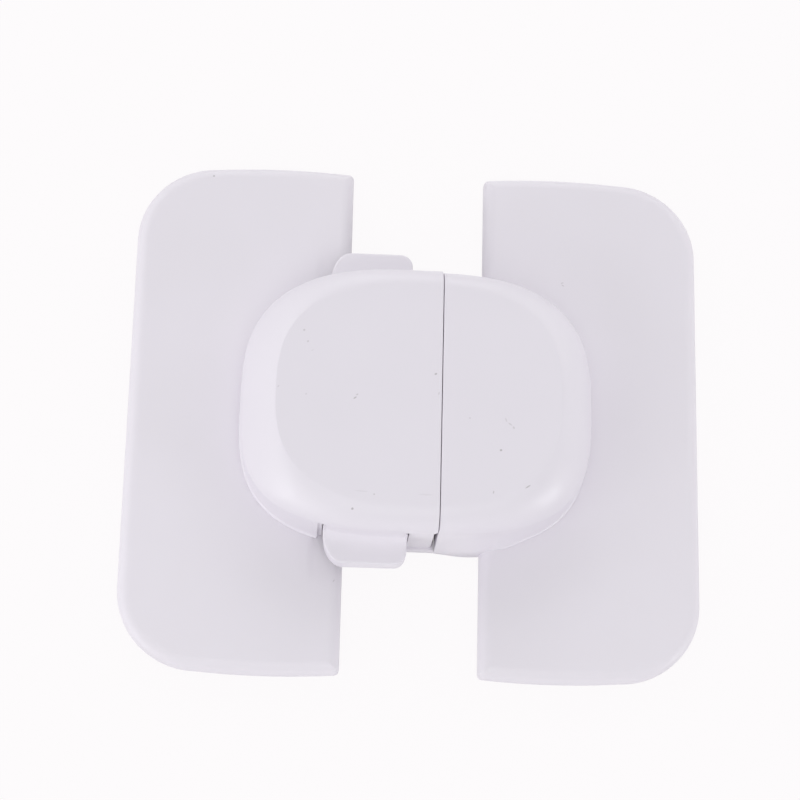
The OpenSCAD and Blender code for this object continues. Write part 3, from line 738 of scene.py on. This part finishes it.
def release_tab(side):
    """Squeeze tab: hollow sweep, rim that wraps its lip, and the pusher rib inside."""
    free = tab_outline(0)
    out = smoothstep((free[:, 1] - DOME_HALF_W + RIM_FADE / 2) / RIM_FADE)
    short_z = HINGE_Z - SHORT_RIM
    rim_z = short_z + out * (RIM_Z - short_z)
    outer = tab_grid(0, rim_z)
    inner = tab_grid(TAB_WALL, rim_z)
    keep = np.ones(np.array(outer.shape[:2]) - 1, bool)
    wall = hinge_y(PUSHER_X, TAB_WALL / 2)
    y = np.linspace(wall + RIB_START, LIP_REACH - TAB_WALL, RIB_POINTS)
    rib = np.concatenate([
        np.stack([y, hollow_z(np.array(PUSHER_X), y, TAB_WALL / 2)], -1),
        [[LIP_REACH - TAB_WALL / 2, RIM_Z + TAB_WALL / 2], [PUSHER_Y + TAB_WALL, PUSHER_Z]],
        [[PUSHER_Y, PUSHER_Z], [PUSHER_Y, PUSHER_Z + PUSHER_H]],
    ])[::-1]
    low, high = PUSHER_X - PUSHER_T / 2, PUSHER_X + PUSHER_T / 2
    return [
        flip(shell(outer, inner, keep, EDGE_R), side),
        flip(block(rib, low, high, RIB_EDGE_R, axis=0), side),
    ]


def pad_outline():
    """Outline of the latch's upper pad: three small corners and the plate's big one."""
    x0, x1, y0, y1 = pad_low[0], pad_high[0], pad_low[1], pad_high[1]
    big = CORNER_R - PAD_INSET
    turn = np.linspace(0, math.pi / 2, PAD_POINTS)
    parts = []
    for cx, cy, r, quarters in (
        (x0, y0, PAD_CORNER_R, 2), (x1, y0, PAD_CORNER_R, 3),
        (x1, y1, big, 0), (x0, y1, PAD_CORNER_R, 1),
    ):
        a = turn + quarters * math.pi / 2
        centre = np.array([cx + (r if cx == x0 else -r), cy + (r if cy == y0 else -r)])
        parts.append(centre + r * np.stack([np.cos(a), np.sin(a)], -1))
    return np.concatenate(parts)


def softened(name, node, radius, material):
    """A merged copy of a CAD node, with its flat faces joined up and its edges rounded."""
    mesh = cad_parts[node].data.copy()
    form = bmesh.new()
    form.from_mesh(mesh)
    bmesh.ops.remove_doubles(form, verts=form.verts, dist=CAD_MERGE * MM)
    bmesh.ops.dissolve_limit(form, angle_limit=FLAT_ANGLE, verts=form.verts, edges=form.edges)
    form.to_mesh(mesh)
    form.free()
    mesh.materials.clear()
    mesh.materials.append(material)
    mesh.shade_smooth()
    mesh.set_sharp_from_angle(angle=SHARP_ANGLE)
    made = bpy.data.objects.new(name, mesh)
    bpy.context.scene.collection.objects.link(made)
    bevel = made.modifiers.new("rounded edges", "BEVEL")
    bevel.width = radius * MM
    bevel.segments = 2
    bevel.limit_method = "ANGLE"
    bevel.angle_limit = BEVEL_ANGLE
    bevel.harden_normals = True
    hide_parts(node)
    return made


def blank(name):
    """A new material and its node tree, emptied."""
    material = bpy.data.materials.new(name)
    material.use_nodes = True
    material.node_tree.nodes.clear()
    return material, material.node_tree


def surface(tree, inputs):
    """Ends a tree with a principled surface."""
    made = add(tree, "ShaderNodeBsdfPrincipled", inputs)
    add(tree, "ShaderNodeOutputMaterial", {"Surface": made.outputs["BSDF"]})


def dark_marks(tree, place, marks):
    """How dark each place is under a list of marks, from 0 to 1: dust grains, hairs, scratches and
    faint lines.

    A mark is an ellipse in plan: its middle, half length and half width in millimetres, its
    turn in degrees and its strength, which fades out over the outer half.
    """
    total = 0.0
    for x, y, half_l, half_w, turn, strength in marks:
        local = add(tree, "ShaderNodeMapping", {
            "Vector": place, "Location": (x * MM, y * MM, 0),
            "Rotation": (0, 0, math.radians(turn)), "Scale": (half_l * MM, half_w * MM, 1),
        }, vector_type="TEXTURE")
        away = add(tree, "ShaderNodeVectorMath", {0: local.outputs["Vector"]}, operation="LENGTH")
        spot = add(tree, "ShaderNodeMapRange", {
            "Value": away.outputs["Value"], "From Min": 0.5, "From Max": 1.0,
            "To Min": strength, "To Max": 0.0,
        })
        total = add(tree, "ShaderNodeMath", {
            0: total, 1: spot.outputs["Result"],
        }, operation="MAXIMUM").outputs[0]
    return total


def moulded_abs(name, pale, shade, roughness, marks):
    """White ABS from a polished mould that has worn satin.

    It gives the eye soft clouds of tint, a sheen that wanders a little, a faint orange peel,
    and the specks of dust and hair scratches that the photograph shows.
    """
    material, tree = blank(name)
    place = add(tree, "ShaderNodeTexCoord").outputs["Object"]
    # Clouds of tint about 14 mm across, as the pigment flowed in the mould
    cloud = add(tree, "ShaderNodeTexNoise", {
        "Vector": place, "Scale": 1 / (14 * MM), "Detail": 2.0,
    }).outputs["Fac"]
    tint = add(tree, "ShaderNodeMix", {
        "Factor": cloud, "A": linear(pale), "B": linear(shade),
    }, data_type="RGBA")
    colour = add(tree, "ShaderNodeMix", {
        "Factor": dark_marks(tree, place, marks), "A": tint.outputs["Result"], "B": linear("#5E5450"),
    }, data_type="RGBA")
    # Handling marks: wisps of sheen about 4 mm long that smear the gloss
    smear = add(tree, "ShaderNodeTexNoise", {
        "Vector": place, "Scale": 1 / (4 * MM), "Detail": 5.0, "Distortion": 1.2,
    }).outputs["Fac"]
    gloss = add(tree, "ShaderNodeMapRange", {
        "Value": smear, "From Min": 0.3, "From Max": 0.7,
        "To Min": roughness - 0.05, "To Max": roughness + 0.05,
    })
    # Orange peel 0.9 mm across, a few microns deep
    peel = add(tree, "ShaderNodeTexNoise", {
        "Vector": place, "Scale": 1 / (0.9 * MM), "Detail": 1.0,
    })
    relief = add(tree, "ShaderNodeBump", {
        "Height": peel.outputs["Fac"], "Strength": 0.25, "Distance": 0.006 * MM,
    })
    surface(tree, {
        "Base Color": colour.outputs["Result"], "Roughness": gloss.outputs["Result"],
        "IOR": 1.53, "Normal": relief.outputs["Normal"],
    })
    return material


def spark_eroded_acetal(name):
    """Acetal from a spark-eroded mould: milky white, with a fine even grain that dulls it."""
    material, tree = blank(name)
    place = add(tree, "ShaderNodeTexCoord").outputs["Object"]
    # Pits 0.15 mm across and 12 microns deep
    pits = add(tree, "ShaderNodeTexNoise", {
        "Vector": place, "Scale": 1 / (0.15 * MM), "Detail": 2.0,
    }).outputs["Fac"]
    colour = add(tree, "ShaderNodeMix", {
        "Factor": pits, "A": linear("#E2DFE0"), "B": linear("#D9D6D7"),
    }, data_type="RGBA")
    relief = add(tree, "ShaderNodeBump", {"Height": pits, "Strength": 0.5, "Distance": 0.012 * MM})
    # Paler flow lines where the melt met, about 6 mm apart
    flow = add(tree, "ShaderNodeTexWave", {
        "Vector": place, "Scale": 1 / (20 * 6 * MM), "Distortion": 6.0, "Detail": 2.0,
    }).outputs["Fac"]
    gloss = add(tree, "ShaderNodeMapRange", {"Value": flow, "To Min": 0.46, "To Max": 0.54})
    surface(tree, {
        "Base Color": colour.outputs["Result"], "Roughness": gloss.outputs["Result"],
        "IOR": 1.48, "Normal": relief.outputs["Normal"],
    })
    return material


def zinc_plated_steel(name):
    """Screw steel, barrel-plated with zinc: dull silver with a faint blue film and nicks."""
    material, tree = blank(name)
    place = add(tree, "ShaderNodeTexCoord").outputs["Object"]
    # Passivated film in blotches 1.5 mm across
    film = add(tree, "ShaderNodeTexNoise", {
        "Vector": place, "Scale": 1 / (1.5 * MM), "Detail": 3.0,
    }).outputs["Fac"]
    colour = add(tree, "ShaderNodeMix", {
        "Factor": film, "A": linear("#CDCDCB"), "B": linear("#B9C0C9"),
    }, data_type="RGBA")
    # Nicks from the plating barrel, 0.3 mm apart
    nick = add(tree, "ShaderNodeTexVoronoi", {"Vector": place, "Scale": 1 / (0.3 * MM)})
    relief = add(tree, "ShaderNodeBump", {
        "Height": nick.outputs["Distance"], "Strength": 0.3, "Distance": 0.01 * MM,
    })
    gloss = add(tree, "ShaderNodeMapRange", {"Value": film, "To Min": 0.26, "To Max": 0.42})
    surface(tree, {
        "Base Color": colour.outputs["Result"], "Metallic": 1.0,
        "Roughness": gloss.outputs["Result"], "Normal": relief.outputs["Normal"],
    })
    return material


def closed_cell_foam(name):
    """Knife-cut polyethylene foam: dull off-white, pocked by cut cells with shaded hollows."""
    material, tree = blank(name)
    place = add(tree, "ShaderNodeTexCoord").outputs["Object"]
    # Cells 0.35 mm across
    cell = add(tree, "ShaderNodeTexVoronoi", {
        "Vector": place, "Scale": 1 / (0.35 * MM),
    }, feature="SMOOTH_F1").outputs["Distance"]
    # Painted shade: each cell's hollow gets the darker colour, paling towards its rim
    colour = add(tree, "ShaderNodeMix", {
        "Factor": cell, "A": linear("#B9B9B2"), "B": linear("#DCDCD6"),
    }, data_type="RGBA")
    relief = add(tree, "ShaderNodeBump", {"Height": cell, "Strength": 0.7, "Distance": 0.08 * MM})
    surface(tree, {
        "Base Color": colour.outputs["Result"], "Roughness": 0.92, "IOR": 1.5,
        "Normal": relief.outputs["Normal"],
    })
    return material


def waxed_paper(name):
    """Release paper, calendered and waxed: pale yellow, cloudy with fibres under a film."""
    material, tree = blank(name)
    place = add(tree, "ShaderNodeTexCoord").outputs["Object"]
    # Clumps of fibre 2.5 mm across, with strands down to 0.1 mm
    fibre = add(tree, "ShaderNodeTexNoise", {
        "Vector": place, "Scale": 1 / (2.5 * MM), "Detail": 5.0, "Roughness": 0.65,
    }).outputs["Fac"]
    colour = add(tree, "ShaderNodeMix", {
        "Factor": fibre, "A": linear("#F1E7C6"), "B": linear("#DFD09E"),
    }, data_type="RGBA")
    relief = add(tree, "ShaderNodeBump", {"Height": fibre, "Strength": 0.3, "Distance": 0.02 * MM})
    surface(tree, {
        "Base Color": colour.outputs["Result"], "Roughness": 0.42, "IOR": 1.45,
        "Normal": relief.outputs["Normal"],
    })
    return material


def background_rays(tree):
    """1 for rays that show the background: straight to the camera, mirrored, or through glass."""
    path = add(tree, "ShaderNodeLightPath").outputs
    total = path["Is Camera Ray"]
    for kind in ("Is Glossy Ray", "Is Transmission Ray"):
        either = add(tree, "ShaderNodeMath", {0: total, 1: path[kind]}, operation="MAXIMUM")
        total = either.outputs[0]
    return total


def softbox(around, height, size, watts):
    """A square lamp aimed at the lock, at an angle round it from +X and an angle of height."""
    lamp = bpy.data.lights.new("softbox", "AREA")
    lamp.size = size
    lamp.energy = watts
    made = bpy.data.objects.new("softbox", lamp)
    around, height = math.radians(around), math.radians(height)
    level = math.cos(height)
    aim = Vector((level * math.cos(around), level * math.sin(around), math.sin(height)))
    made.location = aim * LAMP_DISTANCE
    made.rotation_euler = aim.to_track_quat("Z", "Y").to_euler()
    bpy.context.scene.collection.objects.link(made)


# Specks, scratches and faint dark lines seen on the lock: X, Y, half length, half width, turn and
# strength
DOME_MARKS = [
    (-16.8, 8.9, 0.2, 0.2, 0, 0.25), (-16.2, 7.2, 0.2, 0.16, 60, 0.25),
    (-15.5, 5.9, 0.3, 0.12, 30, 0.08), (-16.2, -0.7, 0.16, 0.16, 0, 0.15),
    (-20.2, 0.3, 0.24, 0.1, 45, 0.18), (-8.9, -0.5, 0.22, 0.14, 30, 0.25),
    (-9.2, -1.0, 0.34, 0.14, 35, 0.38), (2.3, 3.0, 0.26, 0.18, 30, 0.42),
    # The two long faint marks near Y -14.8 darken thin lines just inside the lower edge of the flat
    # top
    (2.8, 0.1, 0.3, 0.12, 80, 0.2), (-7.9, -14.7, 1.2, 0.14, -4, 0.07),
    (-6.1, -15.1, 0.16, 0.16, 0, 0.25), (1.2, -14.9, 1.3, 0.16, 0, 0.07),
    (-9.1, -17.2, 0.22, 0.2, 0, 0.45), (7.3, -3.4, 0.18, 0.14, 0, 0.18),
    (12.5, -3.5, 0.42, 0.13, -66, 0.16), (13.1, -4.1, 0.42, 0.13, -35, 0.2),
    (13.6, -4.6, 0.26, 0.18, -60, 0.2), (11.8, -8.0, 0.22, 0.2, 0, 0.45),
    (10.8, -14.2, 0.28, 0.12, 80, 0.3), (15.7, -13.2, 0.55, 0.12, 35, 0.38),
]
PLATE_MARKS = [
    (22.0, 21.9, 0.3, 0.1, 20, 0.25), (22.1, 21.5, 0.3, 0.1, -30, 0.25),
    (-31.4, 37.0, 0.2, 0.2, 0, 0.4), (-11.2, -25.2, 0.3, 0.12, 60, 0.2),
]

plate_abs = moulded_abs("moulded white ABS, plates", "#E1DDE5", "#DEDAE1", 0.5, PLATE_MARKS)
dome_abs = moulded_abs("moulded white ABS, domes", "#E0DCE4", "#DDD9E1", 0.42, DOME_MARKS)
inner_acetal = spark_eroded_acetal("white acetal")
steel = zinc_plated_steel("zinc-plated steel")
foam = closed_cell_foam("closed-cell foam tape")
liner_paper = waxed_paper("waxed paper liner")

piece("receiver_plate", receiver_base(), plate_abs, ["receiver_base"], "receiver")
covers = [receiver_dome(), *inner_walls(1), *inner_walls(-1)]
piece("receiver_dome", covers, dome_abs, ["receiver_cover"], "receiver")
piece("latch_plate", latch_base(), plate_abs, ["latch_base"], "latch")
piece("latch_dome", [latch_dome()], dome_abs, ["latch_cover"], "latch")
for name, side in (("upper", 1), ("lower", -1)):
    node = f"{name}_release_tab"
    tab = piece(f"{name}_squeeze_tab", release_tab(side), dome_abs, [node])
    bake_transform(tab)

for node, radius, material, slot, body in (
    ("tongue", INNER_EDGE_R, inner_acetal, "white_inner", "latch"),
    ("upper_snap_arm", INNER_EDGE_R, inner_acetal, "white_inner", "upper_arm"),
    ("lower_snap_arm", INNER_EDGE_R, inner_acetal, "white_inner", "lower_arm"),
    ("receiver_cover_screws", SCREW_EDGE_R, steel, "screw_steel", "receiver"),
    ("latch_cover_screws", SCREW_EDGE_R, steel, "screw_steel", "latch"),
    ("tongue_screws", SCREW_EDGE_R, steel, "screw_steel", "latch"),
):
    made = softened(node + "_finish", node, radius, material)
    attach(made, body)

for half, sx in (("receiver", -1), ("latch", 1)):
    for level, sy in (("upper", 1), ("lower", -1)):
        outline = pad_outline() * [sx, sy]
        if sx * sy < 0:
            outline = outline[::-1]
        low = LINER_T - LIFT
        pad = [block(outline, low, 0, FOAM_EDGE_R)]
        foam_pad = piece(
            f"{half}_{level}_foam", pad, foam, [f"{half}_{level}_pad"], half,
        )
        liner = [block(outline, -LIFT, low, PAPER_EDGE_R)]
        piece(
            f"{half}_{level}_paper", liner, liner_paper, [f"{half}_{level}_liner"], half,
        )

# The camera, placed by turning its view of the lock back
turn = Matrix.Identity(3)
for axis, angle in zip("XYZ", CAMERA_TURN):
    turn = Matrix.Rotation(math.radians(angle), 3, axis) @ turn
back = turn.transposed()
spot = back @ -Vector(CAMERA_SHIFT) + Vector((0, 0, LIFT))
camera_data = bpy.data.cameras.new("camera")
camera_data.sensor_width = 36
camera_data.lens = PHOTO_FOCUS / PHOTO_WIDTH * camera_data.sensor_width
camera_data.clip_start = 0.01
camera = bpy.data.objects.new("camera", camera_data)
camera.matrix_world = Matrix.Translation(spot * MM) @ back.to_4x4()
bpy.context.scene.collection.objects.link(camera)
bpy.context.scene.camera = camera

# Pale floor, white to the camera and in reflections, with the lock's soft shadow
floor_mesh = bpy.data.meshes.new("floor")
floor_corners = rectangle(-FLOOR_HALF, FLOOR_HALF, -FLOOR_HALF, FLOOR_HALF)
floor_mesh.from_pydata([(x, y, 0) for x, y in floor_corners.tolist()], [], [(0, 1, 2, 3)])
floor = bpy.data.objects.new("floor", floor_mesh)
bpy.context.scene.collection.objects.link(floor)
floor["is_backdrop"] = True
pale, tree = blank("pale floor")
share = add(tree, "ShaderNodeMath", {0: background_rays(tree), 1: 0.95}, operation="MULTIPLY")
matt = add(tree, "ShaderNodeBsdfDiffuse", {"Color": linear("#E8E6E8")})
white = add(tree, "ShaderNodeEmission", {"Color": linear("#FEFCFD"), "Strength": 1.0})
mixed = add(tree, "ShaderNodeMixShader", {
    0: share.outputs[0], 1: matt.outputs["BSDF"], 2: white.outputs["Emission"],
})
add(tree, "ShaderNodeOutputMaterial", {"Surface": mixed.outputs["Shader"]})
floor_mesh.materials.append(pale)

# Soft studio light: a dim tent, white to the camera and in reflections, with softboxes in it
world = bpy.data.worlds.new("studio tent")
bpy.context.scene.world = world
world.use_nodes = True
tree = world.node_tree
tree.nodes.clear()
tent = add(tree, "ShaderNodeBackground", {"Color": linear("#FFFFFF"), "Strength": 0.4})
white = add(tree, "ShaderNodeBackground", {"Color": linear("#FEFCFD"), "Strength": 1.0})
either = add(tree, "ShaderNodeMixShader", {
    0: background_rays(tree), 1: tent.outputs["Background"], 2: white.outputs["Background"],
})
add(tree, "ShaderNodeOutputWorld", {"Surface": either.outputs["Shader"]})

# A ring of big softboxes with two high ones, as angle round, angle of height and watts, and two
# small low ones that light the dome's end ramps
for around, height, watts in (
    (0, 90, 0.25), (270, 65, 1.2), (180, 20, 0.6), (225, 20, 1.3), (315, 20, 0.35), (0, 20, 0.25),
    (135, 25, 0.85), (90, 25, 1.4), (45, 25, 0.9),
):
    softbox(around, height, BIG_LAMP, watts)
for around, height, watts in ((210, 8, 0.7), (330, 8, 1.15)):
    softbox(around, height, SMALL_LAMP, watts)

bpy.context.scene.view_settings.view_transform = "Standard"

low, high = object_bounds()
